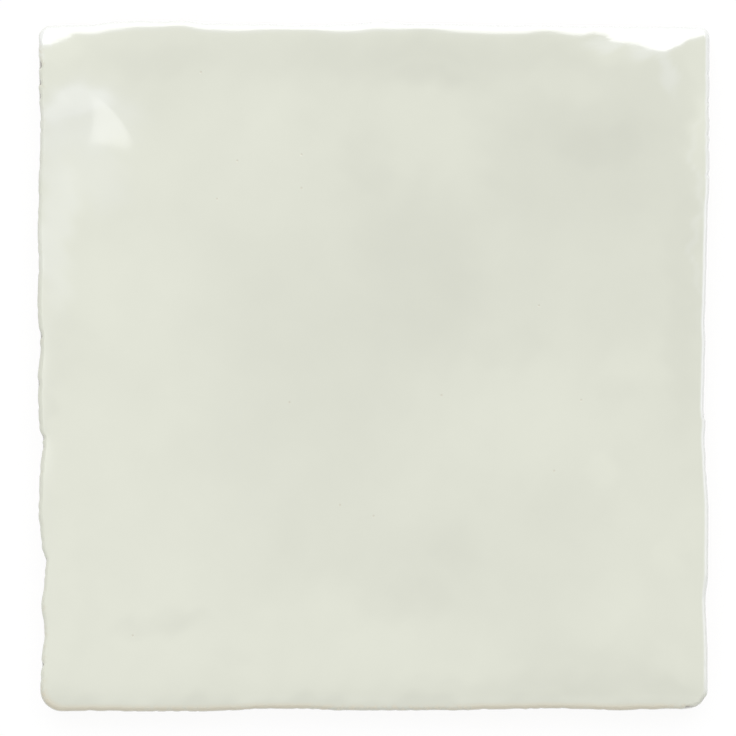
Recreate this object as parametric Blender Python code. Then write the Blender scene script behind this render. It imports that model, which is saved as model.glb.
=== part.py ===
"""Handmade wall tile: one piece of clay, pressed, trimmed, glazed on its face and fired.

The tile lies on its back. +Z is the glazed face, +Y the edge that is at the top in the
photograph and +X the right edge. The origin is under the middle of the tile, at the level of
its back. All lengths are in metres.
"""
import bmesh
import bpy
import math
from mathutils import Vector

# Plan: mean distance between opposite edges
WIDTH = 0.1302
LENGTH = 0.1340

# Section: back to the mean level of the face
THICKNESS = 0.0088

# Corners in plan, each as worn or trimmed
RADIUS_BOTTOM_LEFT = 0.0043
RADIUS_BOTTOM_RIGHT = 0.0040
RADIUS_TOP_RIGHT = 0.0020
RADIUS_TOP_LEFT = 0.0024

# Edge in section, from the back up to the face
BACK_CHAMFER = 0.0005       # broken arris round the back
WALL_FLARE = 0.00015        # the wall stands out this much more at the back than under the glaze
ROLL_WIDTH = 0.0010         # how far in the glaze rolls over the edge
ROLL_DROP = 0.0013
CUSHION_WIDTH = 0.0065      # how far in the face still falls toward the roll
CUSHION_DROP = 0.00010

# Largest wander of a hand-cut edge off its mean line
EDGE_WANDER = 0.00075

# The bottom edge droops on its way to the roll
DROOP_WIDTH = 0.0062
DROOP_DROP = 0.00040

# The top edge is pressed down at this slope, further in here and there
PRESSED_SLOPE = 12.0        # degrees
PRESSED_SOFTNESS = 0.0006   # how gently the slope begins

# Keyed back: shallow grooves that hold the adhesive, closed at both ends
KEY_DEPTH = 0.0007
KEY_WIDTH = 0.0050          # at the level of the back
KEY_LAND = 0.0080           # flat between two grooves
KEY_MARGIN = 0.0090         # least flat border, edge to groove
KEY_DRAFT = 0.0006          # how much narrower each side of a groove is at its floor

# Facets
SIDE_SEGMENTS = 44
CORNER_SEGMENTS = 2         # from the middle of a corner to the start of its side
ROLL_SEGMENTS = 4
CUSHION_SEGMENTS = 3

# Wander of each edge: (station along the side, outward wander). The stations run from -1 to 1
# as the side is walked against the clock, and the wander is a share of EDGE_WANDER
BOTTOM_WANDER = ((-1.0, 0.3), (-0.85, 0.15), (-0.75, 0.3), (-0.52, 0.3), (-0.43, 0.05),
                 (-0.34, -0.4), (-0.22, -0.4), (-0.1, 0.05), (0.26, 0.05), (0.34, -0.25),
                 (0.44, -0.3), (0.53, -0.55), (0.62, -0.35), (0.74, 0.0), (0.8, -0.2),
                 (1.0, -0.25))
RIGHT_WANDER = ((-1.0, 0.16), (-0.83, 0.16), (-0.68, -0.36), (-0.6, 0.3), (-0.42, 0.42),
                (-0.3, -0.1), (-0.21, -0.62), (-0.16, -0.36), (-0.12, -0.88), (0.0, -0.62),
                (0.07, -0.4), (0.13, -0.62), (0.2, -0.36), (0.3, -0.1), (0.44, 0.16),
                (0.54, 0.68), (1.0, 0.68))
TOP_WANDER = ((-1.0, -0.8), (-0.88, -0.55), (-0.62, -0.55), (-0.5, -0.29), (-0.38, -0.29),
              (-0.26, 0.0), (-0.12, 0.0), (-0.02, 0.75), (0.07, 0.0), (0.22, -0.29),
              (0.36, 0.1), (0.5, 0.23), (0.58, 1.0), (0.64, 0.75), (0.7, 1.0),
              (0.77, 0.7), (0.86, -0.2), (1.0, -0.29))
LEFT_WANDER = ((-1.0, 0.44), (-0.79, 0.44), (-0.75, 0.0), (-0.66, 0.0), (-0.54, 0.44),
               (-0.4, 0.65), (-0.3, 0.44), (-0.18, 0.7), (-0.06, 0.0), (0.04, 0.7),
               (0.17, 0.35), (0.215, -0.6), (0.33, 0.18), (0.42, 0.44), (0.51, -0.3),
               (0.57, -1.38), (0.63, -1.1), (0.69, -0.34), (0.77, -1.12), (0.86, -0.34),
               (0.92, -0.05), (1.0, -0.05))

# Where the maker's hands tipped the soft clay: (across, up, reach across, reach up, tilt across,
# tilt up). Places and reaches are shares of the half sides. The tilts are in degrees, toward
# the right and toward the top edge where they are plus
PALM_MARKS = (
    (-0.35, -0.30, 0.30, 0.34, -0.9, 0.7),
    (0.15, 0.25, 0.26, 0.30, 0.6, -1.2),
    (0.55, -0.15, 0.30, 0.26, 0.4, 1.2),
    (0.65, 0.62, 0.24, 0.22, 0.8, -1.4),
    (0.10, -0.62, 0.28, 0.20, 0.5, -1.1),
    (0.70, -0.65, 0.24, 0.24, -0.6, 0.8),
    (-0.55, -0.72, 0.22, 0.16, -0.5, -0.9),
    (-0.35, 0.62, 0.30, 0.22, -0.6, 0.8),
)

# How far the top edge is pressed down: (station across, width of the slope)
PRESSED_TOP = ((-1.02, 0.0040), (-0.975, 0.0037), (-0.93, 0.0018), (-0.82, 0.0015),
               (-0.70, 0.0013), (0.66, 0.0013), (0.72, 0.0028), (0.79, 0.0034),
               (0.83, 0.0044), (0.875, 0.0049), (0.91, 0.0038), (0.95, 0.0022),
               (1.01, 0.0014))


def along(stations, where):
    """Value at a station of a list of (station, value), eased between its neighbours."""
    for (start, low), (end, high) in zip(stations, stations[1:]):
        if where <= end:
            share = min(max((where - start) / (end - start), 0.0), 1.0)
            return low + (high - low) * share * share * (3.0 - 2.0 * share)
    return stations[-1][1]


def relief(x, y):
    """Height of the hand-worked face above its mean level."""
    height = 0.0
    for across, up, reach_x, reach_y, tilt_x, tilt_y in PALM_MARKS:
        dx = x - across * WIDTH / 2
        dy = y - up * LENGTH / 2
        away = (dx / (reach_x * WIDTH / 2)) ** 2 + (dy / (reach_y * LENGTH / 2)) ** 2
        slope = math.tan(math.radians(tilt_x)) * dx + math.tan(math.radians(tilt_y)) * dy
        height -= slope * math.exp(-away)
    drooping = min(max(1 - (y + LENGTH / 2) / DROOP_WIDTH, 0.0), 1.0)
    height -= DROOP_DROP * drooping ** 3
    across = x / (WIDTH / 2)
    top = LENGTH / 2 + EDGE_WANDER * along(TOP_WANDER, -across)
    past = (y - top + along(PRESSED_TOP, across)) / PRESSED_SOFTNESS
    pressed = max(past, 0.0) + math.log1p(math.exp(-abs(past)))
    return height - math.tan(math.radians(PRESSED_SLOPE)) * PRESSED_SOFTNESS * pressed


def perimeter():
    """Outline of the tile at its widest level, SIDE_SEGMENTS points from corner to corner.

    The points run against the clock from the middle of the bottom left corner. The box round
    them is centred on the origin.
    """
    sides = (
        (Vector((0, -1)), LENGTH / 2, WIDTH / 2, BOTTOM_WANDER, RADIUS_BOTTOM_LEFT),
        (Vector((1, 0)), WIDTH / 2, LENGTH / 2, RIGHT_WANDER, RADIUS_BOTTOM_RIGHT),
        (Vector((0, 1)), LENGTH / 2, WIDTH / 2, TOP_WANDER, RADIUS_TOP_RIGHT),
        (Vector((-1, 0)), WIDTH / 2, LENGTH / 2, LEFT_WANDER, RADIUS_TOP_LEFT),
    )
    points = []
    for index, (outward, reach, half_side, wander, radius) in enumerate(sides):
        ahead = Vector((-outward.y, outward.x))
        before = sides[index - 1][3]
        after = sides[(index + 1) % 4][3]
        radius_after = sides[(index + 1) % 4][4]
        # Both neighbours wander too, so the side starts and ends where they do
        start = -half_side - EDGE_WANDER * before[-1][1]
        end = half_side + EDGE_WANDER * after[0][1]
        straight = SIDE_SEGMENTS - 2 * CORNER_SEGMENTS
        for step in range(SIDE_SEGMENTS):
            share = min(max((step - CORNER_SEGMENTS) / straight, 0.0), 1.0)
            place = (start + radius) * (1 - share) + (end - radius_after) * share
            out = reach + EDGE_WANDER * along(wander, place / half_side)
            if step < CORNER_SEGMENTS:
                turn = math.radians(45) * (1 - step / CORNER_SEGMENTS)
                place -= radius * math.sin(turn)
                out -= radius * (1 - math.cos(turn))
            elif step > SIDE_SEGMENTS - CORNER_SEGMENTS:
                turn = math.radians(45) * (step - SIDE_SEGMENTS + CORNER_SEGMENTS) / CORNER_SEGMENTS
                place += radius_after * math.sin(turn)
                out -= radius_after * (1 - math.cos(turn))
            points.append(ahead * place + outward * out)
    middle = Vector([(min(point[axis] for point in points) + max(point[axis] for point in points)) / 2
                     for axis in (0, 1)])
    return [point - middle for point in points]


def grid_lines(outline, inner_half, axis):
    """Stations of the face's grid on one axis, spaced as the outline's points are."""
    side = outline[:SIDE_SEGMENTS + 1] if axis == 0 else outline[SIDE_SEGMENTS:2 * SIDE_SEGMENTS + 1]
    first, last = side[0][axis], side[-1][axis]
    return [inner_half * (2 * (point[axis] - first) / (last - first) - 1) for point in side]


def edge_rows():
    """Section of the tile's edge as (inset from the outline, height, share of the relief)."""
    wall_top = THICKNESS - CUSHION_DROP - ROLL_DROP
    rows = [(BACK_CHAMFER, 0.0, 0.0), (0.0, BACK_CHAMFER, 0.0), (WALL_FLARE, wall_top, 1.0)]
    width = ROLL_WIDTH + CUSHION_WIDTH
    insets = [ROLL_WIDTH * (1 - math.cos(math.radians(90) * step / ROLL_SEGMENTS))
              for step in range(1, ROLL_SEGMENTS + 1)]
    insets += [ROLL_WIDTH + CUSHION_WIDTH * step / CUSHION_SEGMENTS
               for step in range(1, CUSHION_SEGMENTS)]
    for inset in insets:
        rolled = max(1 - inset / ROLL_WIDTH, 0.0)
        cushion = CUSHION_DROP * (1 - inset / width) ** 2
        roll = ROLL_DROP * (1 - math.sqrt(1 - rolled * rolled))
        rows.append((WALL_FLARE + inset, THICKNESS - cushion - roll, 1.0))
    return rows


def tile_body():
    """The fired piece, lofted from the edge's section round the outline and closed by the face."""
    outline = perimeter()
    inset = WALL_FLARE + ROLL_WIDTH + CUSHION_WIDTH
    columns = grid_lines(outline, WIDTH / 2 - inset, 0)
    lines = grid_lines(outline, LENGTH / 2 - inset, 1)

    mesh = bmesh.new()
    grid = [[mesh.verts.new((x, y, THICKNESS + relief(x, y))) for x in columns] for y in lines]
    for low, high in zip(grid, grid[1:]):
        for column in range(SIDE_SEGMENTS):
            mesh.faces.new((low[column], low[column + 1], high[column + 1], high[column]))

    # The rim of the grid, in the outline's order
    rim = (grid[0][:-1] + [row[-1] for row in grid[:-1]]
           + grid[-1][:0:-1] + [row[0] for row in grid[:0:-1]])
    loops = []
    for row_inset, height, share in edge_rows():
        loop = []
        for point, inner in zip(outline, rim):
            place = point + (inner.co.xy - point) * (row_inset / inset)
            loop.append(mesh.verts.new((*place, height + share * relief(*place))))
        loops.append(loop)
    loops.append(rim)
    for outer, inner in zip(loops, loops[1:]):
        for index in range(len(outer)):
            following = (index + 1) % len(outer)
            mesh.faces.new((outer[index], outer[following], inner[following], inner[index]))
    mesh.faces.new(reversed(loops[0]))
    bmesh.ops.recalc_face_normals(mesh, faces=mesh.faces)
    return new_object("wall_tile", mesh)


def key_grooves():
    """Cutter for the keyed back: tapered bars side by side, open only toward the back."""
    pitch = KEY_WIDTH + KEY_LAND
    count = max(int((WIDTH - 2 * KEY_MARGIN + KEY_LAND) / pitch), 1)
    half_length = LENGTH / 2 - KEY_MARGIN
    below = KEY_DEPTH       # the bars start this far under the back, with their draft carried on
    mesh = bmesh.new()
    for number in range(count):
        middle = (number - (count - 1) / 2) * pitch
        rings = []
        for level in (-below, KEY_DEPTH):
            taper = KEY_DRAFT * level / KEY_DEPTH
            half_width = KEY_WIDTH / 2 - taper
            reach = half_length - taper
            rings.append([mesh.verts.new((middle + half_width * sx, reach * sy, level))
                          for sx, sy in ((-1, -1), (1, -1), (1, 1), (-1, 1))])
        base, top = rings
        mesh.faces.new(reversed(base))
        mesh.faces.new(top)
        for index in range(4):
            following = (index + 1) % 4
            mesh.faces.new((base[index], base[following], top[following], top[index]))
    cutter = new_object("key_groove_cutter", mesh)
    cutter.hide_render = True
    cutter.display_type = 'WIRE'
    return cutter


def new_object(name, mesh):
    data = bpy.data.meshes.new(name)
    mesh.to_mesh(data)
    mesh.free()
    thing = bpy.data.objects.new(name, data)
    bpy.context.scene.collection.objects.link(thing)
    return thing


def glazed_ceramic():
    """Off-white glaze with a faint green cast, over a buff body."""
    material = bpy.data.materials.new("glazed_ceramic")
    material.use_nodes = True
    shader = material.node_tree.nodes["Principled BSDF"]
    shader.inputs["Base Color"].default_value = (0.72, 0.735, 0.65, 1.0)
    shader.inputs["Roughness"].default_value = 0.12
    return material


def main():
    for thing in list(bpy.data.objects):
        bpy.data.objects.remove(thing, do_unlink=True)

    tile = tile_body()
    tile.data.materials.append(glazed_ceramic())
    for polygon in tile.data.polygons:
        polygon.use_smooth = polygon.normal.z > -0.9    # all but the flat back
    tile.data.set_sharp_from_angle(angle=math.radians(35))

    keying = tile.modifiers.new("keyed_back", 'BOOLEAN')
    keying.operation = 'DIFFERENCE'
    keying.solver = 'EXACT'
    keying.object = key_grooves()


main()
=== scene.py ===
"""Looks of the handmade wall tile: glaze, clay and the light of the photograph.

The tile lies on its back, so the camera looks straight down on it. +Y is the edge at the top of
the picture and +X the right edge. Lengths are in metres. Places on the tile are stations: -1 to
1 of its half width across, and of its half length up.
"""
import math

import bmesh
import bpy
import numpy as np
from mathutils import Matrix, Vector


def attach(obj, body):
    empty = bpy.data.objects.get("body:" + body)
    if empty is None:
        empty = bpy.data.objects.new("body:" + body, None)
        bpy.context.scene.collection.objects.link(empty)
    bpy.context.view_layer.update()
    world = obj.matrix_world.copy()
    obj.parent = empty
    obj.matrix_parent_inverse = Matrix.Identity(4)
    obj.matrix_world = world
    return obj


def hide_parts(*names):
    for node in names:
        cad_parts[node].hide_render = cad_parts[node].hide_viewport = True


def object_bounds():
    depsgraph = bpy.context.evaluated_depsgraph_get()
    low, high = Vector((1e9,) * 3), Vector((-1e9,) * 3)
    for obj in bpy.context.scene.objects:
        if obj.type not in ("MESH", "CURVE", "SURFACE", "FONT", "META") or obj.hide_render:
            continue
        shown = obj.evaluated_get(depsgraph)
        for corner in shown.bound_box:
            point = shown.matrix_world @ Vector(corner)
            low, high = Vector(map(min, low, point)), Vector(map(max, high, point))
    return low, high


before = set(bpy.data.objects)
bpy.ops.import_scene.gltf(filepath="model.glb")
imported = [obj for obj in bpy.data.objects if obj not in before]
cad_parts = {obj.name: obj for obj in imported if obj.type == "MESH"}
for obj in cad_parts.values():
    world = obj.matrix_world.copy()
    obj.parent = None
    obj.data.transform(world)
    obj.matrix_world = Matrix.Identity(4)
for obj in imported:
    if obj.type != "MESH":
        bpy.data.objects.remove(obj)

CAD_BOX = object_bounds()

# The tile's own sizes, as in the solid
WIDTH = 0.1302
LENGTH = 0.1340
THICKNESS = 0.0088
RADIUS_BOTTOM_LEFT = 0.0043
RADIUS_BOTTOM_RIGHT = 0.0040
RADIUS_TOP_RIGHT = 0.0020
RADIUS_TOP_LEFT = 0.0024
BACK_CHAMFER = 0.0005
WALL_FLARE = 0.00015
ROLL_WIDTH = 0.0010
ROLL_DROP = 0.0013
CUSHION_WIDTH = 0.0065
CUSHION_DROP = 0.00010
EDGE_WANDER = 0.00075
KEY_DEPTH = 0.0007
KEY_WIDTH = 0.0050
KEY_LAND = 0.0080
KEY_MARGIN = 0.0090
KEY_DRAFT = 0.0006

# Wander of each edge, walked against the clock: (station, outward share of EDGE_WANDER)
BOTTOM_WANDER = ((-1.0, 0.3), (-0.85, 0.15), (-0.75, 0.3), (-0.52, 0.3), (-0.43, 0.05),
                 (-0.34, -0.4), (-0.22, -0.4), (-0.1, 0.05), (0.26, 0.05), (0.34, -0.25),
                 (0.44, -0.3), (0.53, -0.55), (0.62, -0.35), (0.74, 0.0), (0.8, -0.2),
                 (1.0, -0.25))
RIGHT_WANDER = ((-1.0, 0.16), (-0.83, 0.16), (-0.68, -0.36), (-0.6, 0.3), (-0.42, 0.42),
                (-0.3, -0.1), (-0.21, -0.62), (-0.16, -0.36), (-0.12, -0.88), (0.0, -0.62),
                (0.07, -0.4), (0.13, -0.62), (0.2, -0.36), (0.3, -0.1), (0.44, 0.16),
                (0.54, 0.68), (1.0, 0.68))
TOP_WANDER = ((-1.0, -0.8), (-0.88, -0.55), (-0.62, -0.55), (-0.5, -0.29), (-0.38, -0.29),
              (-0.26, 0.0), (-0.12, 0.0), (-0.02, 0.75), (0.07, 0.0), (0.22, -0.29),
              (0.36, 0.1), (0.5, 0.23), (0.58, 1.0), (0.64, 0.75), (0.7, 1.0),
              (0.77, 0.7), (0.86, -0.2), (1.0, -0.29))
LEFT_WANDER = ((-1.0, 0.44), (-0.79, 0.44), (-0.75, 0.0), (-0.66, 0.0), (-0.54, 0.44),
               (-0.4, 0.65), (-0.3, 0.44), (-0.18, 0.7), (-0.06, 0.0), (0.04, 0.7),
               (0.17, 0.35), (0.215, -0.6), (0.33, 0.18), (0.42, 0.44), (0.51, -0.3),
               (0.57, -1.38), (0.63, -1.1), (0.69, -0.34), (0.77, -1.12), (0.86, -0.34),
               (0.92, -0.05), (1.0, -0.05))

# How deep the glaze breaks in along each edge, in the order above
RAGGED_DEPTH = (0.00012, 0.00010, 0.00003, 0.00026)
RAGGED_GRAIN = 5                # points of the outline from one break to the next
RAGGED_SEED = 5
RAGGED_GAIN = 2.2
RAGGED_FLOOR = 0.9              # taken off after the gain, so that only some points break
UNWORN_SHARE = 0.4              # how ragged it still is where the arris isn't worn
CORNER_CALM = 0.03              # stations over which it calms down round the corners
CALM_SHARE = 0.2
CHIP_ROUNDING = 2.5             # 2 is a bell, and more is flatter
# Chips in the edges: (edge, station, half width in stations, depth)
EDGE_CHIPS = (
    (0, 0.952, 0.020, 0.00050), (0, 0.885, 0.030, 0.00016), (0, 0.988, 0.014, 0.00026),
    (1, -0.985, 0.018, 0.00030), (1, 0.835, 0.006, 0.00017), (1, 0.757, 0.009, 0.00024),
    (1, 0.724, 0.016, 0.00019), (1, 0.661, 0.009, 0.00024), (1, 0.625, 0.014, 0.00018),
    (1, 0.545, 0.006, 0.00024), (1, -0.155, 0.006, 0.00024), (1, -0.295, 0.018, 0.00018),
    (3, -0.865, 0.015, 0.00042), (3, -0.812, 0.010, 0.00042), (3, -0.772, 0.014, 0.00036),
    (3, -0.085, 0.012, 0.00026), (3, 0.213, 0.008, 0.00034), (3, 0.055, 0.012, 0.00020),
    (3, 0.240, 0.009, 0.00030), (3, 0.565, 0.008, 0.00026), (3, 0.870, 0.008, 0.00036),
)
# Where the arris wears through to the clay, along each edge: (station, share)
ARRIS_WEAR = (
    ((-1.0, 1.0), (-0.8, 1.1), (-0.7, 0.75), (-0.3, 0.85), (0.05, 0.55), (0.2, 0.6), (0.4, 1.1),
     (0.6, 0.85), (0.8, 1.0), (0.92, 0.7), (0.97, 0.3), (1.0, 0.25)),
    ((-1.0, 0.25), (-0.93, 0.1), (0.5, 0.05), (0.7, 0.1), (0.9, 0.05), (1.0, 0.0)),
    ((-1.0, 0.0), (1.0, 0.1)),
    ((-1.0, 0.1), (-0.9, 0.35), (-0.75, 0.35), (-0.6, 0.2), (0.5, 0.2), (0.9, 0.4), (1.0, 0.9)),
)

# Fineness of the mesh
GRID = 160                      # squares of the face along a side
FINER = 4                       # points of the outline to a square of the face
RIM = FINER * GRID
CORNER_POINTS = 20              # from the middle of a corner to its side
WALL_SHARES = (0.3, 0.6, 0.8, 0.93, 1.0)                # levels of the wall
WALL_FADING = 8                 # how fast breaks and wear fade down the wall, as a power
ROLL_TURNS = (11, 22, 33, 45, 57, 68, 78, 85, 90)       # degrees round the roll
CUSHION_STEPS = (0.015, 0.07, 0.18, 0.30, 0.44, 0.58, 0.72, 0.86)
FACE_LEVEL = THICKNESS - 0.00003                        # so that the ripples stay in the solid
GROOVE_FACE_AREA = 0.000003     # faces of the grooves are larger, and those of the wall smaller

# Where the maker's hands tipped the soft clay: (across, up, reach across, reach up, tilt across,
# tilt up), the tilts in degrees, toward the right and toward the top edge where they are plus
PALM_MARKS = (
    (-0.35, -0.30, 0.30, 0.34, -0.9, 0.7),
    (0.15, 0.25, 0.26, 0.30, 0.6, -1.2),
    (0.55, -0.15, 0.30, 0.26, 0.4, 1.2),
    (0.65, 0.62, 0.24, 0.22, 0.8, -1.4),
    (0.10, -0.62, 0.28, 0.20, 0.5, -1.1),
    (0.70, -0.65, 0.24, 0.24, -0.6, 0.8),
    (-0.55, -0.72, 0.22, 0.16, -0.5, -0.9),
    (-0.35, 0.62, 0.30, 0.22, -0.6, 0.8),
)
# A fold that catches the light: (across, up, way it falls in degrees, half length, width of the
# crease, how far it eases out, tilt in degrees)
FOLDS = ((-0.764, 0.738, 222, 0.0080, 0.0005, 0.0150, 4.9),)
# The bottom edge droops
DROOP_WIDTH = 0.0062
DROOP_DROP = 0.00040
# Faint ripples: (wavelength, way they run in degrees, height, start)
RIPPLES = ((0.031, 20, 0.000022, 0.4), (0.024, 105, 0.000016, 2.1), (0.017, 63, 0.000009, 4.0),
           (0.013, 150, 0.000006, 1.3), (0.0092, 35, 0.0000025, 5.2))

# How far in the top edge is pressed down: (station across, width of the slope)
PRESSED_TOP = ((-1.02, 0.0045), (-0.97, 0.0039), (-0.93, 0.0027), (-0.89, 0.0015),
               (-0.82, 0.0017), (-0.70, 0.0013), (-0.62, 0.0010),
               (-0.42, 0.0014), (-0.22, 0.0008), (-0.09, 0.0014), (0.03, 0.0015),
               (0.14, 0.0008), (0.27, 0.0014), (0.36, 0.00145), (0.44, 0.0014), (0.51, 0.0010),
               (0.62, 0.0016), (0.66, 0.0012), (0.69, 0.0015), (0.72, 0.0028),
               (0.79, 0.0034), (0.83, 0.0044), (0.875, 0.0049), (0.91, 0.0038),
               (0.95, 0.0022), (1.01, 0.0014))
PRESSED_SLOPE = 12.0            # degrees
PRESSED_SOFTNESS = 0.00038      # how gently the slope begins
LIP_START = -0.0004             # where the thick glaze that gathers on it, painted pale as a highlight, begins
LIP_SOFTNESS = 0.00026

# Where the face is paler or darker, partly the glaze's own tone and partly painted shade and
# highlight: painted shade under the top edge, along the bottom edge and where the face turns from the
# light, and painted highlight at the top left and by the pressed top edge: (across, up, reach across,
# reach up, per cent)
GLAZE_TONES_AND_SHADE = (
    # The first three darken the face under the top edge: painted shade where it turns from the light
    (-0.67, 0.885, 0.19, 0.050, -3.0), (0.14, 0.895, 0.50, 0.070, -3.5),
    (0.155, 0.902, 0.12, 0.035, -2.0), (-0.40, 0.645, 0.34, 0.22, 2.0),
    (-0.33, 0.765, 0.13, 0.060, 1.0), (0.17, 0.67, 0.19, 0.14, 3.0),
    (0.57, 0.82, 0.11, 0.060, 3.0), (0.65, 0.63, 0.31, 0.28, -3.6),
    (0.70, 0.65, 0.14, 0.065, -3.0), (0.125, 0.26, 0.20, 0.27, -4.0),
    (0.515, -0.12, 0.34, 0.19, 2.5), (0.47, -0.13, 0.17, 0.10, 1.0),
    (0.925, 0.185, 0.055, 0.36, -3.0), (-0.20, -0.15, 0.28, 0.41, -2.0),
    (0.125, -0.595, 0.20, 0.15, -3.0), (0.255, -0.54, 0.075, 0.095, -1.5),
    (0.525, -0.60, 0.20, 0.24, -1.5), (0.80, -0.565, 0.18, 0.22, 1.5),
    (-0.13, -0.785, 0.42, 0.15, 2.5), (-0.65, -0.74, 0.115, 0.038, -3.0),
    (-0.405, -0.835, 0.060, 0.030, -1.5), (0.62, -0.87, 0.21, 0.075, -2.5),
    (0.715, -0.075, 0.065, 0.055, -1.5), (-0.93, 0.05, 0.10, 0.12, -2.5),
    (-0.74, -0.20, 0.26, 0.78, 3.0), (0.0, -0.76, 1.00, 0.22, 2.0),
    (0.97, -0.45, 0.07, 0.45, 1.0), (0.99, 0.75, 0.05, 0.35, 3.5),
    (0.78, 0.925, 0.13, 0.055, 4.5), (0.17, 0.835, 0.12, 0.035, -3.5),
    (-0.01, 0.60, 0.08, 0.10, -3.0), (0.40, 0.50, 0.08, 0.08, -2.0),
    (0.42, 0.055, 0.14, 0.06, -2.5), (0.12, -0.68, 0.12, 0.07, -2.5),
    (0.30, -0.94, 0.40, 0.035, -2.5), (-0.93, 0.93, 0.08, 0.06, 4.0),
    # These two lighten the top left: painted highlight where the lamps shine in the glaze
    (-0.88, 0.765, 0.08, 0.035, 4.0), (-0.955, 0.765, 0.035, 0.045, 3.0),
    (-0.94, 0.45, 0.06, 0.28, 2.0), (-0.94, -0.65, 0.06, 0.30, 2.5),
    (0.35, -0.42, 0.75, 0.20, 1.2), (0.90, -0.85, 0.05, 0.05, 2.0),
    # These two darken the bottom edge and its corner: painted shade where the edge droops away from
    # the light
    (-0.96, -0.99, 0.09, 0.06, -3.0), (0.0, -1.0, 1.05, 0.040, -7.5),
    (-0.985, -0.12, 0.025, 0.12, -3.0), (0.45, 0.45, 0.62, 0.62, -1.2),
    (0.88, -0.945, 0.08, 0.035, -3.0), (0.60, -0.92, 0.35, 0.040, -2.0),
    (-0.86, 0.28, 0.10, 0.24, 1.5), (-0.88, 0.88, 0.13, 0.09, 2.5), (0.80, 0.0, 0.12, 0.06, 2.0),
    (0.69, -0.285, 0.05, 0.05, 3.0), (0.65, -0.70, 0.12, 0.10, 2.0),
    (0.885, -0.565, 0.05, 0.05, 2.5), (0.985, 0.72, 0.04, 0.08, 3.5),
    (0.98, 0.37, 0.04, 0.05, -3.0), (-0.56, -0.75, 0.07, 0.035, -3.0),
    (-0.74, -0.755, 0.05, 0.035, -2.0),
)
# Where it is milky, and painted paler and greyer as a sheen where the lamps shine in the glaze at the
# top left, by the pressed top edge and along the right edge: (across, up, reach across, reach up,
# share)
MILKY_GLAZE_AND_SHEEN = (
    (0.880, 0.86, 0.024, 0.085, 0.6), (-0.975, 0.93, 0.014, 0.03, 0.8),
    (0.965, 0.45, 0.010, 0.30, 0.35), (-0.950, 0.760, 0.050, 0.055, 0.6),
    (-0.870, 0.765, 0.070, 0.040, 0.6), (-0.867, 0.715, 0.16, 0.10, 0.6),
    (-0.95, 0.430, 0.055, 0.26, 0.5), (-0.83, 0.55, 0.09, 0.11, 0.35),
    (0.72, 0.945, 0.07, 0.022, 0.7), (0.82, 0.905, 0.05, 0.025, 0.7),
)
# How the bounds of these patches stray: (distance, share of x, share of y, length, start)
STRAY_ACROSS = ((0.0010, 0, 1, 0.0031, 0.6), (0.0006, 1, 2, 0.0019, 2.0))
STRAY_UP = ((0.0009, 1, 0, 0.0035, 1.9), (0.0005, 2, -1, 0.0022, 0.5))
# Pinholes: (across, up)
PINHOLES = ((-0.515, 0.853), (-0.407, 0.596), (-0.215, 0.614), (-0.215, 0.517), (0.494, 0.176),
            (0.62, -0.098), (-0.10, -0.402), (0.0, -0.434), (0.539, -0.303), (0.203, -0.084),
            (-0.719, -0.781), (-0.467, 0.485), (-0.251, -0.104))


def between(stations, where):
    """Values at stations of a list of (station, value), eased between neighbours."""
    marks, values = np.array(stations).T
    index = np.clip(np.searchsorted(marks, where) - 1, 0, len(marks) - 2)
    share = np.clip((where - marks[index]) / (marks[index + 1] - marks[index]), 0, 1)
    share = share * share * (3 - 2 * share)
    return values[index] + (values[index + 1] - values[index]) * share


def outline():
    """Outline of the tile at its widest level, RIM points to a side, walked against the clock."""
    sides = (
        ((0, -1), LENGTH / 2, WIDTH / 2, BOTTOM_WANDER, RADIUS_BOTTOM_LEFT),
        ((1, 0), WIDTH / 2, LENGTH / 2, RIGHT_WANDER, RADIUS_BOTTOM_RIGHT),
        ((0, 1), LENGTH / 2, WIDTH / 2, TOP_WANDER, RADIUS_TOP_RIGHT),
        ((-1, 0), WIDTH / 2, LENGTH / 2, LEFT_WANDER, RADIUS_TOP_LEFT),
    )
    step = np.arange(RIM)
    turn_in = math.radians(45) * np.clip(1 - step / CORNER_POINTS, 0, 1)
    turn_out = math.radians(45) * np.clip(1 - (RIM - step) / CORNER_POINTS, 0, 1)
    points = []
    for index, (outward, reach, half_side, wander, radius) in enumerate(sides):
        outward = np.array(outward, float)
        ahead = np.array((-outward[1], outward[0]))
        before, after = sides[index - 1][3], sides[(index + 1) % 4][3]
        radius_after = sides[(index + 1) % 4][4]
        start = -half_side - EDGE_WANDER * before[-1][1]
        end = half_side + EDGE_WANDER * after[0][1]
        share = np.clip((step - CORNER_POINTS) / (RIM - 2 * CORNER_POINTS), 0, 1)
        place = (start + radius) * (1 - share) + (end - radius_after) * share
        out = reach + EDGE_WANDER * between(wander, place / half_side)
        place = place - radius * np.sin(turn_in) + radius_after * np.sin(turn_out)
        out = out - radius * (1 - np.cos(turn_in)) - radius_after * (1 - np.cos(turn_out))
        points.append(place[:, None] * ahead + out[:, None] * outward)
    points = np.concatenate(points)
    return points - (points.min(axis=0) + points.max(axis=0)) / 2


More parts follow.
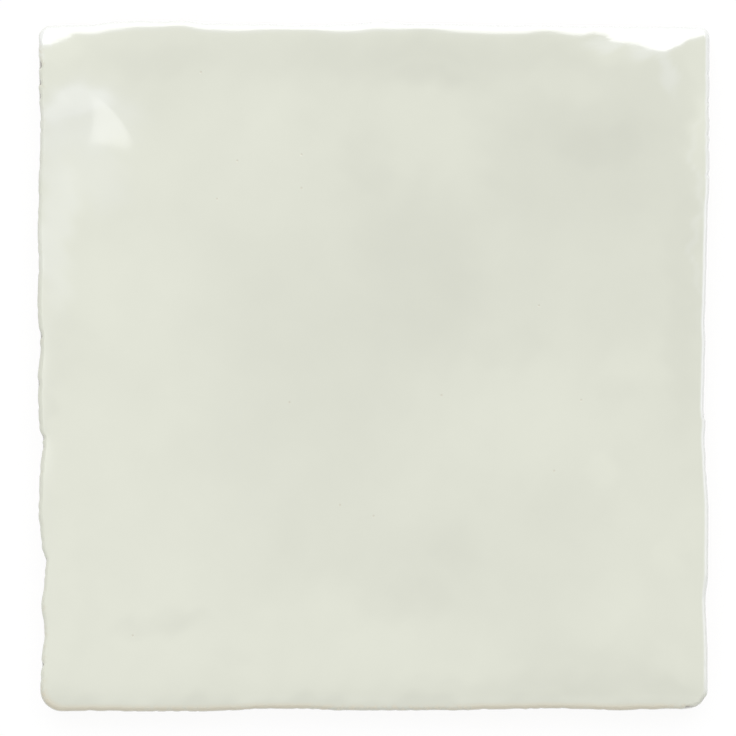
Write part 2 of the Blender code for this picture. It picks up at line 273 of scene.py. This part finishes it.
def edge_breaks():
    """How far the glaze breaks in from the outline, and how worn the arris is, point by point."""
    rng = np.random.default_rng(RAGGED_SEED)
    breaks, wears = [], []
    for edge, depth in enumerate(RAGGED_DEPTH):
        station = 2 * np.arange(RIM) / RIM - 1
        knots = np.arange(0, RIM + RAGGED_GRAIN, RAGGED_GRAIN)
        rough = np.interp(np.arange(RIM), knots, rng.random(len(knots)))
        wear = between(ARRIS_WEAR[edge], station)
        calm = np.clip((1 - np.abs(station)) / CORNER_CALM - 1, CALM_SHARE, 1)
        ragged = np.clip(RAGGED_GAIN * rough - RAGGED_FLOOR, 0, 1)
        broken = depth * ragged * (UNWORN_SHARE + (1 - UNWORN_SHARE) * wear) * calm
        for chipped, place, half, chip_depth in EDGE_CHIPS:
            if chipped == edge:
                away = np.abs((station - place) / half)
                broken += chip_depth * np.exp(-away ** CHIP_ROUNDING)
        breaks.append(broken)
        wears.append(wear)
    return np.concatenate(breaks), np.concatenate(wears)


def strayed(x, y, strays):
    """How far the bounds of the patches stray at each place, in metres."""
    return sum(distance * np.sin((share_x * x + share_y * y) / length + start)
               for distance, share_x, share_y, length, start in strays)


def laid_on(x, y, patches):
    """Sum of soft-edged patches with uneven bounds: (across, up, reach across, reach up, strength)."""
    x, y = x + strayed(x, y, STRAY_ACROSS), y + strayed(x, y, STRAY_UP)
    total = np.zeros_like(x)
    for across, up, reach_x, reach_y, strength in patches:
        away = (((x / (WIDTH / 2) - across) / reach_x) ** 2
                + ((y / (LENGTH / 2) - up) / reach_y) ** 2)
        total += strength * np.exp(-away * away)
    return total


def past_the_press(x, y):
    """How far a place lies out over the pressed top edge, in metres; minus on the face."""
    across = x / (WIDTH / 2)
    top = LENGTH / 2 + EDGE_WANDER * between(TOP_WANDER, -across)
    return y - top + between(PRESSED_TOP, across)


def relief(x, y):
    """Height of the hand-worked face over its mean level."""
    height = np.zeros_like(x)
    for across, up, reach_x, reach_y, tilt_x, tilt_y in PALM_MARKS:
        dx, dy = x - across * WIDTH / 2, y - up * LENGTH / 2
        fade = np.exp(-(dx / (reach_x * WIDTH / 2)) ** 2 - (dy / (reach_y * LENGTH / 2)) ** 2)
        height -= (math.tan(math.radians(tilt_x)) * dx
                   + math.tan(math.radians(tilt_y)) * dy) * fade
    for across, up, way, half_length, crease, ease, tilt in FOLDS:
        dx, dy = x - across * WIDTH / 2, y - up * LENGTH / 2
        way_x, way_y = math.cos(math.radians(way)), math.sin(math.radians(way))
        past = np.maximum(dx * way_x + dy * way_y, 0)
        aside = dx * way_y - dy * way_x
        fall = past * np.exp(-(past / ease) ** 2) - crease * (1 - np.exp(-past / crease))
        height -= math.tan(math.radians(tilt)) * fall * np.exp(-(aside / half_length) ** 2)
    for wavelength, way, rise, start in RIPPLES:
        along = x * math.cos(math.radians(way)) + y * math.sin(math.radians(way))
        height += rise * np.sin(2 * math.pi * along / wavelength + start)
    drooping = np.clip(1 - (y + LENGTH / 2) / DROOP_WIDTH, 0, 1)
    height -= DROOP_DROP * drooping ** 3
    height -= (math.tan(math.radians(PRESSED_SLOPE)) * PRESSED_SOFTNESS
               * np.logaddexp(0, past_the_press(x, y) / PRESSED_SOFTNESS))
    return height


def edge_rows():
    """Section of the edge, from the back to the face, as a row of values for each ring.

    They are its inset, its height, its shares of the relief, of the breaks and of the wear, and
    its way from the arris.
    """
    wall_top = FACE_LEVEL - CUSHION_DROP - ROLL_DROP
    rounded = BACK_CHAMFER * 0.3
    rows = [(BACK_CHAMFER, 0.0, 0.0, 0.0, 0.0, wall_top),
            (rounded, rounded, 0.0, 0.0, 0.0, wall_top),
            (0.0, BACK_CHAMFER, 0.0, 0.0, 0.0, wall_top)]
    for share in WALL_SHARES:
        height = BACK_CHAMFER + (wall_top - BACK_CHAMFER) * share
        faded = share ** WALL_FADING
        rows.append((WALL_FLARE * share, height, share, faded, faded, wall_top - height))
    width = ROLL_WIDTH + CUSHION_WIDTH
    insets = [ROLL_WIDTH * (1 - math.cos(math.radians(turn))) for turn in ROLL_TURNS]
    insets += [ROLL_WIDTH + CUSHION_WIDTH * share for share in CUSHION_STEPS]
    for inset in insets:
        rolled = max(1 - inset / ROLL_WIDTH, 0.0)
        cushion = CUSHION_DROP * (1 - inset / width) ** 2
        roll = ROLL_DROP * (1 - math.sqrt(max(1 - rolled * rolled, 0.0)))
        rows.append((WALL_FLARE + inset, FACE_LEVEL - cushion - roll, 1.0,
                     math.exp(-inset / ROLL_WIDTH), 1.0, inset))
    return rows


def face_grid(rim, inset):
    """Grid of the face inside the edge: its points, its squares and the ring round it."""
    coarse = rim[::FINER]
    spans = []
    for axis, half in ((0, WIDTH / 2 - inset), (1, LENGTH / 2 - inset)):
        side = coarse[axis * GRID:(axis + 1) * GRID + 1, axis]
        spans.append(half * (2 * (side - side[0]) / (side[-1] - side[0]) - 1))
    grid_x, grid_y = np.meshgrid(*spans)
    points = np.stack((grid_x, grid_y, FACE_LEVEL + relief(grid_x, grid_y)), axis=-1)
    index = np.arange(grid_x.size).reshape(grid_x.shape)
    squares = np.stack((index[:-1, :-1], index[:-1, 1:], index[1:, 1:], index[1:, :-1]), axis=-1)
    ring = np.concatenate((index[0, :-1], index[:-1, -1], index[-1, :0:-1], index[:0:-1, 0]))
    return points.reshape(-1, 3), squares.reshape(-1, 4).tolist(), ring


def edge_faces(first, row_count, ring):
    """Faces of the rings of the edge, of the seam with the ring round the face, and of the back."""
    around = np.arange(4 * RIM)
    following = np.roll(around, -1)
    faces = []
    for row in range(row_count - 1):
        low = first + row * len(around)
        high = low + len(around)
        faces += np.column_stack((low + around, low + following,
                                  high + following, high + around)).tolist()
    last = first + (row_count - 1) * len(around)
    for number, near in enumerate(ring):
        far = ring[(number + 1) % len(ring)]
        start = FINER * number
        steps = [last + (start + step) % len(around) for step in range(FINER + 1)]
        for step in range(FINER):
            corner = near if step < FINER // 2 else far
            faces.append((steps[step], steps[step + 1], corner))
        faces.append((steps[FINER // 2], far, near))
    faces.append(list(range(first + len(around) - 1, first - 1, -1)))
    return faces


def tile_surface():
    """Vertices, faces and what the finishes need to know at each vertex."""
    rim = outline()
    breaks, wears = edge_breaks()
    inset = WALL_FLARE + ROLL_WIDTH + CUSHION_WIDTH
    face, squares, ring = face_grid(rim, inset)

    # The outline has more points than the grid's ring, so they aim between two of its points
    inner = face[ring, :2]
    shares = np.arange(FINER)[None, :, None] / FINER
    target = (inner[:, None] * (1 - shares) + np.roll(inner, -1, axis=0)[:, None] * shares)
    target = target.reshape(-1, 2)

    rings = [face]
    worn = [np.zeros(len(face))]
    chips = [np.zeros(len(face))]
    ways = [np.full(len(face), inset)]
    rows = edge_rows()
    for row_inset, height, relief_share, break_share, wear_share, from_arris in rows:
        moved = (row_inset + breaks * break_share)[:, None] / inset
        place = rim + (target - rim) * moved
        z = height + relief_share * relief(place[:, 0], place[:, 1])
        rings.append(np.column_stack((place, z)))
        worn.append(wears * wear_share)
        chips.append(breaks * break_share)
        ways.append(np.full(len(rim), from_arris))
    vertices = np.concatenate(rings)
    x, y = vertices[:, 0], vertices[:, 1]
    short_of_lip = np.clip((LIP_START - past_the_press(x, y)) / LIP_SOFTNESS, -20, 20)
    told = {"from_arris": np.concatenate(ways), "arris_wear": np.concatenate(worn),
            "chip_depth": np.concatenate(chips), "pressed_lip": 1 / (1 + np.exp(short_of_lip)),
            "glaze_tone_and_shade": laid_on(x, y, GLAZE_TONES_AND_SHADE), "glaze_milk_and_sheen": laid_on(x, y, MILKY_GLAZE_AND_SHEEN)}
    return vertices, squares + edge_faces(len(face), len(rows), ring), told


def key_grooves():
    """Cutter for the keyed back, as in the solid."""
    pitch = KEY_WIDTH + KEY_LAND
    count = max(int((WIDTH - 2 * KEY_MARGIN + KEY_LAND) / pitch), 1)
    half_length = LENGTH / 2 - KEY_MARGIN
    mesh = bmesh.new()
    for number in range(count):
        middle = (number - (count - 1) / 2) * pitch
        rings = []
        for level in (-KEY_DEPTH, KEY_DEPTH):
            taper = KEY_DRAFT * level / KEY_DEPTH
            rings.append([mesh.verts.new((middle + (KEY_WIDTH / 2 - taper) * sx,
                                          (half_length - taper) * sy, level))
                          for sx, sy in ((-1, -1), (1, -1), (1, 1), (-1, 1))])
        base, top = rings
        mesh.faces.new(reversed(base))
        mesh.faces.new(top)
        for index in range(4):
            following = (index + 1) % 4
            mesh.faces.new((base[index], base[following], top[following], top[index]))
    data = bpy.data.meshes.new("key_groove_cutter")
    mesh.to_mesh(data)
    mesh.free()
    cutter = bpy.data.objects.new("key_groove_cutter", data)
    bpy.context.scene.collection.objects.link(cutter)
    return cutter


def make_tile():
    """The tile as one fine mesh, kept inside the solid's box."""
    vertices, faces, told = tile_surface()
    low, high = (np.array(corner) for corner in CAD_BOX)
    data = bpy.data.meshes.new("tile")
    data.from_pydata(np.clip(vertices, low, high).tolist(), [], faces)
    for name, values in told.items():
        attribute = data.attributes.new(name, 'FLOAT', 'POINT')
        attribute.data.foreach_set("value", values.astype(np.float32))
    tile = bpy.data.objects.new("tile", data)
    bpy.context.scene.collection.objects.link(tile)
    data.shade_smooth()

    cutter = key_grooves()
    keying = tile.modifiers.new("keyed_back", 'BOOLEAN')
    keying.operation = 'DIFFERENCE'
    keying.solver = 'EXACT'
    keying.object = cutter
    evaluated = tile.evaluated_get(bpy.context.evaluated_depsgraph_get())
    cut = bpy.data.meshes.new_from_object(evaluated)
    tile.modifiers.clear()
    tile.data = cut
    bpy.data.objects.remove(cutter, do_unlink=True)
    cut.materials.clear()
    clay_group = fired_clay_group()
    cut.materials.append(glaze_over_clay(clay_group))
    cut.materials.append(bare_clay(clay_group))

    # The back is bare clay, with the floors and the walls of its grooves
    for polygon in cut.polygons:
        at_back = polygon.center.z < KEY_DEPTH + 0.00001 and polygon.normal.z < -0.5
        in_groove = polygon.center.z < KEY_DEPTH and polygon.area > GROOVE_FACE_AREA
        polygon.material_index = 1 if at_back or in_groove else 0
        polygon.use_smooth = polygon.material_index == 0
    return tile


# Finishes
GLAZE_MEAN = (0.690, 0.704, 0.610, 1.0)
# milky glaze, and a painted sheen where the lamps shine in it
GLAZE_MILKY_SHEEN = (0.750, 0.766, 0.705, 1.0)
GLAZE_BROKEN = (0.655, 0.615, 0.495, 1.0)       # thin over the arris
GLAZE_GATHERED_HIGHLIGHT = (0.820, 0.832, 0.808, 1.0)     # thick and pale, partly a painted highlight
GLAZE_IOR = 1.6
GLAZE_ROUGHNESS = 0.09
BROKEN_ROUGHNESS = 0.42
GLAZE_DEPTH = 0.00025
TONE_RANGE = 14.0               # per cent
DRIFT_SIZE = 0.011              # of the clouds in the glaze
DRIFT_RANGE = 1.6               # per cent
PEEL_SIZE = 0.0028              # of the orange peel
PEEL_DEPTH = 0.000003
PINHOLE_REACH = (0.00008, 0.00032)
PINHOLE_DEPTH = 0.00003
PINHOLE_SHADE = 0.25
# painted shadow in the chips
CHIP_PAINTED_SHADOW = (0.22, 0.185, 0.15, 1.0)
CLAY_PALE = (0.60, 0.47, 0.34, 1.0)
CLAY_DARK = (0.44, 0.32, 0.22, 1.0)
CLAY_SPECK = (0.20, 0.13, 0.09, 1.0)
CLAY_ROUGHNESS = (0.78, 0.94)
CLAY_GRAIN_SIZE = 0.0007
CLAY_GRAIN_DEPTH = 0.00012
SMOOTHED_GRAIN_DEPTH = 0.00008  # on the walls
FIRING_SIZE = 0.018             # of the clouds that the kiln left in the clay
GROG_PER_METRE = 420.0
GROG_REACH = (0.10, 0.18)
GROG_PATCHES = 0.0031           # size of the patches that it shows in
GROG_SHADE = 0.6

# How far from the arris each change of the glaze begins and ends
BREAK_STARTS = (0.00005, 0.00035)
BREAK_FADES = (0.0005, 0.0018)
BEAD_FADES = (0.0006, 0.0011)
UNDER_WEAR_FADES = (0.00005, 0.0003)
LIP_STARTS = (0.0001, 0.0004)
# Wear of the arris: glaze gathers, painted pale as a highlight, in a bead below the first, and under
# the arris above the second
UNWORN = (0.05, 0.2)
WELL_WORN = (0.35, 0.6)
# The glaze breaks where wear and clouds of this size come over this level together
BREAK_SIZE = 0.0011
BREAK_WEAR = 0.8
BREAK_LEVEL = 0.75
BREAK_RANGE = 0.45
# Chips are painted dark with their shadow where they are this deep, less so further from the arris,
# with crumbs at their bounds
CHIP_BOUNDS = (0.00011, 0.00024)
CHIP_NARROWING = -0.35
CHIP_COVER = 0.95
CRUMB_SIZE = 0.0005
CRUMB_DEPTH = 0.0005
# The glaze ends on the wall at this mean height, higher and lower by this much, in runs this wide
FOOT_HEIGHT = 0.0046
FOOT_SPREAD = 0.0024
FOOT_RUNS = 0.013
FOOT_BOUND = (-0.0001, 0.00015)
FOOT_THINS = (0.0001, 0.0007)
FOOT_THINNESS = 0.35


def add_node(tree, kind, inputs=None, **settings):
    """A node with its settings, and with its inputs set or linked, by name or number."""
    node = tree.nodes.new(kind)
    for name, value in settings.items():
        setattr(node, name, value)
    for name, value in (inputs or {}).items():
        if isinstance(value, bpy.types.NodeSocket):
            tree.links.new(value, node.inputs[name])
        else:
            node.inputs[name].default_value = value
    return node


def maths(tree, operation, first, second=0.0):
    return add_node(tree, "ShaderNodeMath", {0: first, 1: second}, operation=operation).outputs[0]


def between_values(tree, value, low, high, at_low=0.0, at_high=1.0, ease='SMOOTHSTEP'):
    """Turns low..high of a value into at_low..at_high, and holds it there outside."""
    inputs = {"Value": value, "From Min": low, "From Max": high, "To Min": at_low,
              "To Max": at_high}
    return add_node(tree, "ShaderNodeMapRange", inputs, interpolation_type=ease).outputs["Result"]


def mixed_colour(tree, share, first, second):
    inputs = {0: share, 6: first, 7: second}
    return add_node(tree, "ShaderNodeMix", inputs, data_type='RGBA').outputs[2]


def mixed_value(tree, share, first, second):
    return add_node(tree, "ShaderNodeMix", {0: share, 2: first, 3: second}).outputs[0]


def stretched(tree, where, factors):
    return add_node(tree, "ShaderNodeVectorMath", {0: where, 1: factors},
                    operation='MULTIPLY').outputs[0]


def clouds(tree, where, size, detail=2.0):
    """Soft noise from 0 to 1 whose clouds are about this size."""
    inputs = {"Vector": where, "Scale": 1.0 / size, "Detail": detail, "Roughness": 0.5}
    return add_node(tree, "ShaderNodeTexNoise", inputs).outputs["Fac"]


def places(tree):
    return add_node(tree, "ShaderNodeTexCoord").outputs["Object"]


def told_by_mesh(tree, name):
    return add_node(tree, "ShaderNodeAttribute", attribute_name=name).outputs["Fac"]


def fired_clay_group():
    """Group: colour, roughness and grain of the buff fired clay."""
    tree = bpy.data.node_groups.new("fired_clay", 'ShaderNodeTree')
    sockets = (("Where", 'INPUT', 'NodeSocketVector'), ("Grain", 'INPUT', 'NodeSocketFloat'),
               ("Colour", 'OUTPUT', 'NodeSocketColor'), ("Roughness", 'OUTPUT', 'NodeSocketFloat'),
               ("Height", 'OUTPUT', 'NodeSocketFloat'))
    for name, way, kind in sockets:
        tree.interface.new_socket(name=name, in_out=way, socket_type=kind)
    given = tree.nodes.new("NodeGroupInput")
    result = tree.nodes.new("NodeGroupOutput")
    where = given.outputs["Where"]
    grain = clouds(tree, where, CLAY_GRAIN_SIZE, 4.0)
    firing = clouds(tree, where, FIRING_SIZE, 3.0)
    shade = maths(tree, 'ADD', maths(tree, 'MULTIPLY', grain, 0.55),
                  maths(tree, 'MULTIPLY', firing, 0.45))
    colour = mixed_colour(tree, between_values(tree, shade, 0.35, 0.65), CLAY_DARK, CLAY_PALE)
    grog = add_node(tree, "ShaderNodeTexVoronoi", {"Vector": where, "Scale": GROG_PER_METRE})
    speck = between_values(tree, grog.outputs["Distance"], *GROG_REACH, 1.0, 0.0)
    rare = between_values(tree, clouds(tree, where, GROG_PATCHES), 0.52, 0.60)
    speck = maths(tree, 'MULTIPLY', speck, rare)
    colour = mixed_colour(tree, maths(tree, 'MULTIPLY', speck, GROG_SHADE), colour, CLAY_SPECK)
    height = maths(tree, 'MULTIPLY', maths(tree, 'SUBTRACT', grain, speck), given.outputs["Grain"])
    tree.links.new(colour, result.inputs["Colour"])
    roughness = between_values(tree, grain, 0.3, 0.7, *CLAY_ROUGHNESS)
    tree.links.new(roughness, result.inputs["Roughness"])
    tree.links.new(height, result.inputs["Height"])
    return tree


def pinholes(tree, where):
    """Mask of the pinholes in the face."""
    flat = stretched(tree, where, (1.0, 1.0, 0.0))
    nearest = None
    for across, up in PINHOLES:
        place = (across * WIDTH / 2, up * LENGTH / 2, 0.0)
        away = add_node(tree, "ShaderNodeVectorMath", {0: flat, 1: place},
                        operation='DISTANCE').outputs["Value"]
        nearest = away if nearest is None else maths(tree, 'MINIMUM', nearest, away)
    return between_values(tree, nearest, *PINHOLE_REACH, 1.0, 0.0)


def toned_and_shaded_glaze(tree, where, holes):
    """Colour of the glaze: its own tone with painted shade and highlight, milky places with a painted
    sheen, and pinholes.
    """
    drift = clouds(tree, where, DRIFT_SIZE, 4.0)
    # The tone holds painted shade and highlight as well as the glaze's own tone
    tone = maths(tree, 'ADD', told_by_mesh(tree, "glaze_tone_and_shade"),
                 between_values(tree, drift, 0.25, 0.75, -DRIFT_RANGE, DRIFT_RANGE, 'LINEAR'))
    # Milky places, partly a painted sheen where the lamps shine in the glaze
    colour = mixed_colour(tree, told_by_mesh(tree, "glaze_milk_and_sheen"), GLAZE_MEAN, GLAZE_MILKY_SHEEN)
    paler = between_values(tree, tone, -TONE_RANGE, TONE_RANGE,
                           1 - TONE_RANGE / 100, 1 + TONE_RANGE / 100, 'LINEAR')
    colour = stretched(tree, colour, paler)
    return mixed_colour(tree, maths(tree, 'MULTIPLY', holes, PINHOLE_SHADE), colour, CLAY_DARK)


def gathered_glaze_and_highlight(tree, from_arris, wear):
    """Mask of thick glaze, partly painted pale as a highlight: the pressed lip, a bead on the unworn
    arris, and under the worn one.
    """
    lip = maths(tree, 'MULTIPLY', told_by_mesh(tree, "pressed_lip"),
                between_values(tree, from_arris, *LIP_STARTS, 0.5, 1.0))
    bead = maths(tree, 'MULTIPLY', between_values(tree, from_arris, *BEAD_FADES, 1.0, 0.0),
                 between_values(tree, wear, *UNWORN, 1.0, 0.0))
    under_wear = maths(tree, 'MULTIPLY',
                       between_values(tree, from_arris, *UNDER_WEAR_FADES, 1.0, 0.0),
                       between_values(tree, wear, *WELL_WORN))
    return maths(tree, 'MAXIMUM', maths(tree, 'MAXIMUM', bead, under_wear), lip)


def broken_glaze(tree, where, from_arris, wear):
    """Mask of the glaze that breaks thin over the worn arris."""
    reach = maths(tree, 'MULTIPLY', between_values(tree, from_arris, *BREAK_FADES, 1.0, 0.0),
                  between_values(tree, from_arris, *BREAK_STARTS, 0.2, 1.0))
    ragged = clouds(tree, where, BREAK_SIZE, 3.0)
    breaking = maths(tree, 'ADD', maths(tree, 'MULTIPLY', wear, BREAK_WEAR),
                     maths(tree, 'SUBTRACT', ragged, BREAK_LEVEL))
    return maths(tree, 'MULTIPLY', reach, between_values(tree, breaking, 0.0, BREAK_RANGE))


def chip_shadow_mask(tree, where, from_arris):
    """Mask of the painted shadow in the chips in the arris, with crumbs at their bounds."""
    crumbs = maths(tree, 'SUBTRACT', clouds(tree, where, CRUMB_SIZE), 0.5)
    chipping = maths(tree, 'ADD', maths(tree, 'MULTIPLY', from_arris, CHIP_NARROWING),
                     maths(tree, 'MULTIPLY', crumbs, CRUMB_DEPTH))
    chipping = maths(tree, 'ADD', told_by_mesh(tree, "chip_depth"), chipping)
    return between_values(tree, chipping, *CHIP_BOUNDS, 0.0, CHIP_COVER)


def over_the_foot(tree, where):
    """How high a place lies over the uneven line on the wall where the glaze ends."""
    level = add_node(tree, "ShaderNodeSeparateXYZ", {0: where}).outputs["Z"]
    runs = clouds(tree, stretched(tree, where, (1.0, 1.0, 0.25)), FOOT_RUNS, 2.5)
    foot = between_values(tree, runs, 0.3, 0.7, FOOT_HEIGHT - FOOT_SPREAD,
                          FOOT_HEIGHT + FOOT_SPREAD, 'LINEAR')
    return maths(tree, 'SUBTRACT', level, foot)


def glaze_over_clay(clay_group):
    """Gloss off-white glaze with a faint green cast, thin at the arris, over buff clay."""
    material = bpy.data.materials.new("glaze_over_clay")
    material.use_nodes = True
    tree = material.node_tree
    shader = tree.nodes["Principled BSDF"]
    shader.inputs["IOR"].default_value = GLAZE_IOR
    where = places(tree)
    clay = add_node(tree, "ShaderNodeGroup", node_tree=clay_group)
    tree.links.new(where, clay.inputs["Where"])
    clay.inputs["Grain"].default_value = SMOOTHED_GRAIN_DEPTH

    holes = pinholes(tree, where)
    from_arris = told_by_mesh(tree, "from_arris")
    wear = told_by_mesh(tree, "arris_wear")
    gathered_and_highlight = gathered_glaze_and_highlight(tree, from_arris, wear)
    broken = broken_glaze(tree, where, from_arris, wear)
    # Painted shadow in the chips
    chipped = chip_shadow_mask(tree, where, from_arris)
    above = over_the_foot(tree, where)
    cover = between_values(tree, above, *FOOT_BOUND)
    thinned = between_values(tree, above, *FOOT_THINS, FOOT_THINNESS, 0.0)

    glaze = toned_and_shaded_glaze(tree, where, holes)
    # The thick glaze is partly painted pale as a highlight, and the chips are painted dark with their
    # shadow
    for mask, colour in ((gathered_and_highlight, GLAZE_GATHERED_HIGHLIGHT), (broken, GLAZE_BROKEN),
                         (chipped, CHIP_PAINTED_SHADOW), (thinned, GLAZE_BROKEN)):
        glaze = mixed_colour(tree, mask, glaze, colour)
    roughness = between_values(tree, broken, 0.0, 1.0, GLAZE_ROUGHNESS, BROKEN_ROUGHNESS)
    shader_inputs = {
        "Base Color": mixed_colour(tree, cover, clay.outputs["Colour"], glaze),
        "Roughness": mixed_value(tree, cover, clay.outputs["Roughness"], roughness),
        "Coat Weight": maths(tree, 'MULTIPLY', gathered_and_highlight, cover),
    }
    for name, socket in shader_inputs.items():
        tree.links.new(socket, shader.inputs[name])

    # Relief too fine for the mesh: orange peel, pinholes, clay grain and the glaze's own thickness
    peel = maths(tree, 'MULTIPLY', clouds(tree, where, PEEL_SIZE, 1.0), PEEL_DEPTH)
    dents = maths(tree, 'MULTIPLY', holes, PINHOLE_DEPTH)
    glazed = maths(tree, 'ADD', maths(tree, 'SUBTRACT', peel, dents), GLAZE_DEPTH)
    height = mixed_value(tree, cover, clay.outputs["Height"], glazed)
    bump = add_node(tree, "ShaderNodeBump", {"Height": height, "Distance": 1.0})
    tree.links.new(bump.outputs["Normal"], shader.inputs["Normal"])
    return material


def bare_clay(clay_group):
    """Buff fired clay, bare at the back."""
    material = bpy.data.materials.new("bare_clay")
    material.use_nodes = True
    tree = material.node_tree
    shader = tree.nodes["Principled BSDF"]
    clay = add_node(tree, "ShaderNodeGroup", node_tree=clay_group)
    tree.links.new(places(tree), clay.inputs["Where"])
    clay.inputs["Grain"].default_value = CLAY_GRAIN_DEPTH
    tree.links.new(clay.outputs["Colour"], shader.inputs["Base Color"])
    tree.links.new(clay.outputs["Roughness"], shader.inputs["Roughness"])
    bump = add_node(tree, "ShaderNodeBump", {"Height": clay.outputs["Height"], "Distance": 1.0})
    tree.links.new(bump.outputs["Normal"], shader.inputs["Normal"])
    return material


# The stage
STAGE_HALF = 6.0
FLOOR_COLOUR = (0.80, 0.80, 0.80, 1.0)
FLOOR_WASH = 0.87               # share of the floor that reads plain white
FLOOR_WHITE = 1.04
LAMP_DISTANCE = 5.0
LAMP_POWER = 4                  # watts to a square metre of lamp for a radiance of 1
# Lamps: (name, lean off the vertical, way they stand toward, width and height in degrees as the
# tile sees them, radiance)
LAMPS = (
    ("tall_window", 34, 90, 64, 24, 1.7),
    ("window_foot", 65, 90, 64, 38, 1.2),
    ("window_haze", 18, 90, 46, 8, 1.8),
    ("low_strip", 63, -1.6, 10.4, 48, 0.55),
    ("side_glow", 17, 180, 28, 27, 0.20),
    ("side_gap", 12.0, 176, 7.4, 4.8, 0.6),
    ("side_gap_core", 12.0, 176, 6.0, 3.6, 0.7),
    ("side_haze", 12.2, 176, 8.0, 5.4, 1.0),
    ("front_fill", 50, -90, 100, 70, 0.28),
)
WORLD_LEVEL = 0.438             # as a light
LENS = 150.0                    # millimetres
SENSOR_WIDTH = 36.0
VIEW_WIDTH = 0.1430             # at the level of the face
VIEW_MIDDLE = (-0.00107, -0.00034)
CLIP_RANGE = (0.01, 20.0)


def plain_view(tree):
    """1 where the camera sees a thing itself, mirrored in gloss or through glass, else 0."""
    path = add_node(tree, "ShaderNodeLightPath")
    seen = maths(tree, 'MAXIMUM', path.outputs["Is Camera Ray"], path.outputs["Is Glossy Ray"])
    return maths(tree, 'MAXIMUM', seen, path.outputs["Is Transmission Ray"])


def pale_floor():
    """Plain pale floor that reads white, with the tile's soft shadow."""
    material = bpy.data.materials.new("pale_floor")
    material.use_nodes = True
    tree = material.node_tree
    shader = tree.nodes["Principled BSDF"]
    shader.inputs["Base Color"].default_value = FLOOR_COLOUR
    shader.inputs["Roughness"].default_value = 0.9
    shader.inputs["Specular IOR Level"].default_value = 0.0
    white = add_node(tree, "ShaderNodeEmission", {"Strength": FLOOR_WHITE})
    wash = maths(tree, 'MULTIPLY', plain_view(tree), FLOOR_WASH)
    mix = add_node(tree, "ShaderNodeMixShader",
                   {0: wash, 1: shader.outputs["BSDF"], 2: white.outputs["Emission"]})
    tree.links.new(mix.outputs["Shader"], tree.nodes["Material Output"].inputs["Surface"])
    return material


def make_floor():
    data = bpy.data.meshes.new("floor")
    data.from_pydata([(STAGE_HALF * x, STAGE_HALF * y, 0.0)
                      for x, y in ((-1, -1), (1, -1), (1, 1), (-1, 1))], [], [(0, 1, 2, 3)])
    data.materials.append(pale_floor())
    floor = bpy.data.objects.new("floor", data)
    bpy.context.scene.collection.objects.link(floor)


def make_lamp(name, lean, toward, across, up, radiance):
    """A soft lamp far off, aimed at the tile.

    It stands lean degrees off the vertical, toward that many degrees from +X to +Y, and is
    across by up degrees as the tile sees it.
    """
    lean, toward = math.radians(lean), math.radians(toward)
    data = bpy.data.lights.new(name, 'AREA')
    data.shape = 'RECTANGLE'
    data.size = 2 * LAMP_DISTANCE * math.tan(math.radians(across / 2))
    data.size_y = 2 * LAMP_DISTANCE * math.tan(math.radians(up / 2))
    data.energy = LAMP_POWER * radiance * data.size * data.size_y
    lamp = bpy.data.objects.new(name, data)
    place = Vector((math.sin(lean) * math.cos(toward), math.sin(lean) * math.sin(toward),
                    math.cos(lean)))
    lamp.location = place * LAMP_DISTANCE
    lamp.rotation_mode = 'QUATERNION'
    lamp.rotation_quaternion = (-place).to_track_quat('-Z', 'Y')
    lamp.visible_camera = False
    bpy.context.scene.collection.objects.link(lamp)


def make_world():
    """Even light all round, that reads white where it is seen."""
    world = bpy.data.worlds.new("studio")
    world.use_nodes = True
    tree = world.node_tree
    around = tree.nodes["Background"]
    around.inputs["Color"].default_value = (1.0, 1.0, 1.0, 1.0)
    around.inputs["Strength"].default_value = WORLD_LEVEL
    white = add_node(tree, "ShaderNodeBackground", {"Strength": 1.0})
    white.inputs["Color"].default_value = (1.0, 1.0, 1.0, 1.0)
    mix = add_node(tree, "ShaderNodeMixShader",
                   {0: plain_view(tree), 1: around.outputs[0], 2: white.outputs[0]})
    tree.links.new(mix.outputs[0], tree.nodes["World Output"].inputs["Surface"])
    bpy.context.scene.world = world


def make_lights():
    make_world()
    for lamp in LAMPS:
        make_lamp(*lamp)


def make_camera():
    data = bpy.data.cameras.new("camera")
    data.lens = LENS
    data.sensor_width = SENSOR_WIDTH
    camera = bpy.data.objects.new("camera", data)
    camera.location = (*VIEW_MIDDLE, VIEW_WIDTH * LENS / SENSOR_WIDTH + THICKNESS)
    data.clip_start, data.clip_end = CLIP_RANGE
    bpy.context.scene.collection.objects.link(camera)
    bpy.context.scene.camera = camera


def main():
    tile = make_tile()
    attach(tile, "root")
    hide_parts("wall_tile")
    make_floor()
    make_lights()
    make_camera()
    bpy.context.scene.view_settings.view_transform = 'Standard'


main()
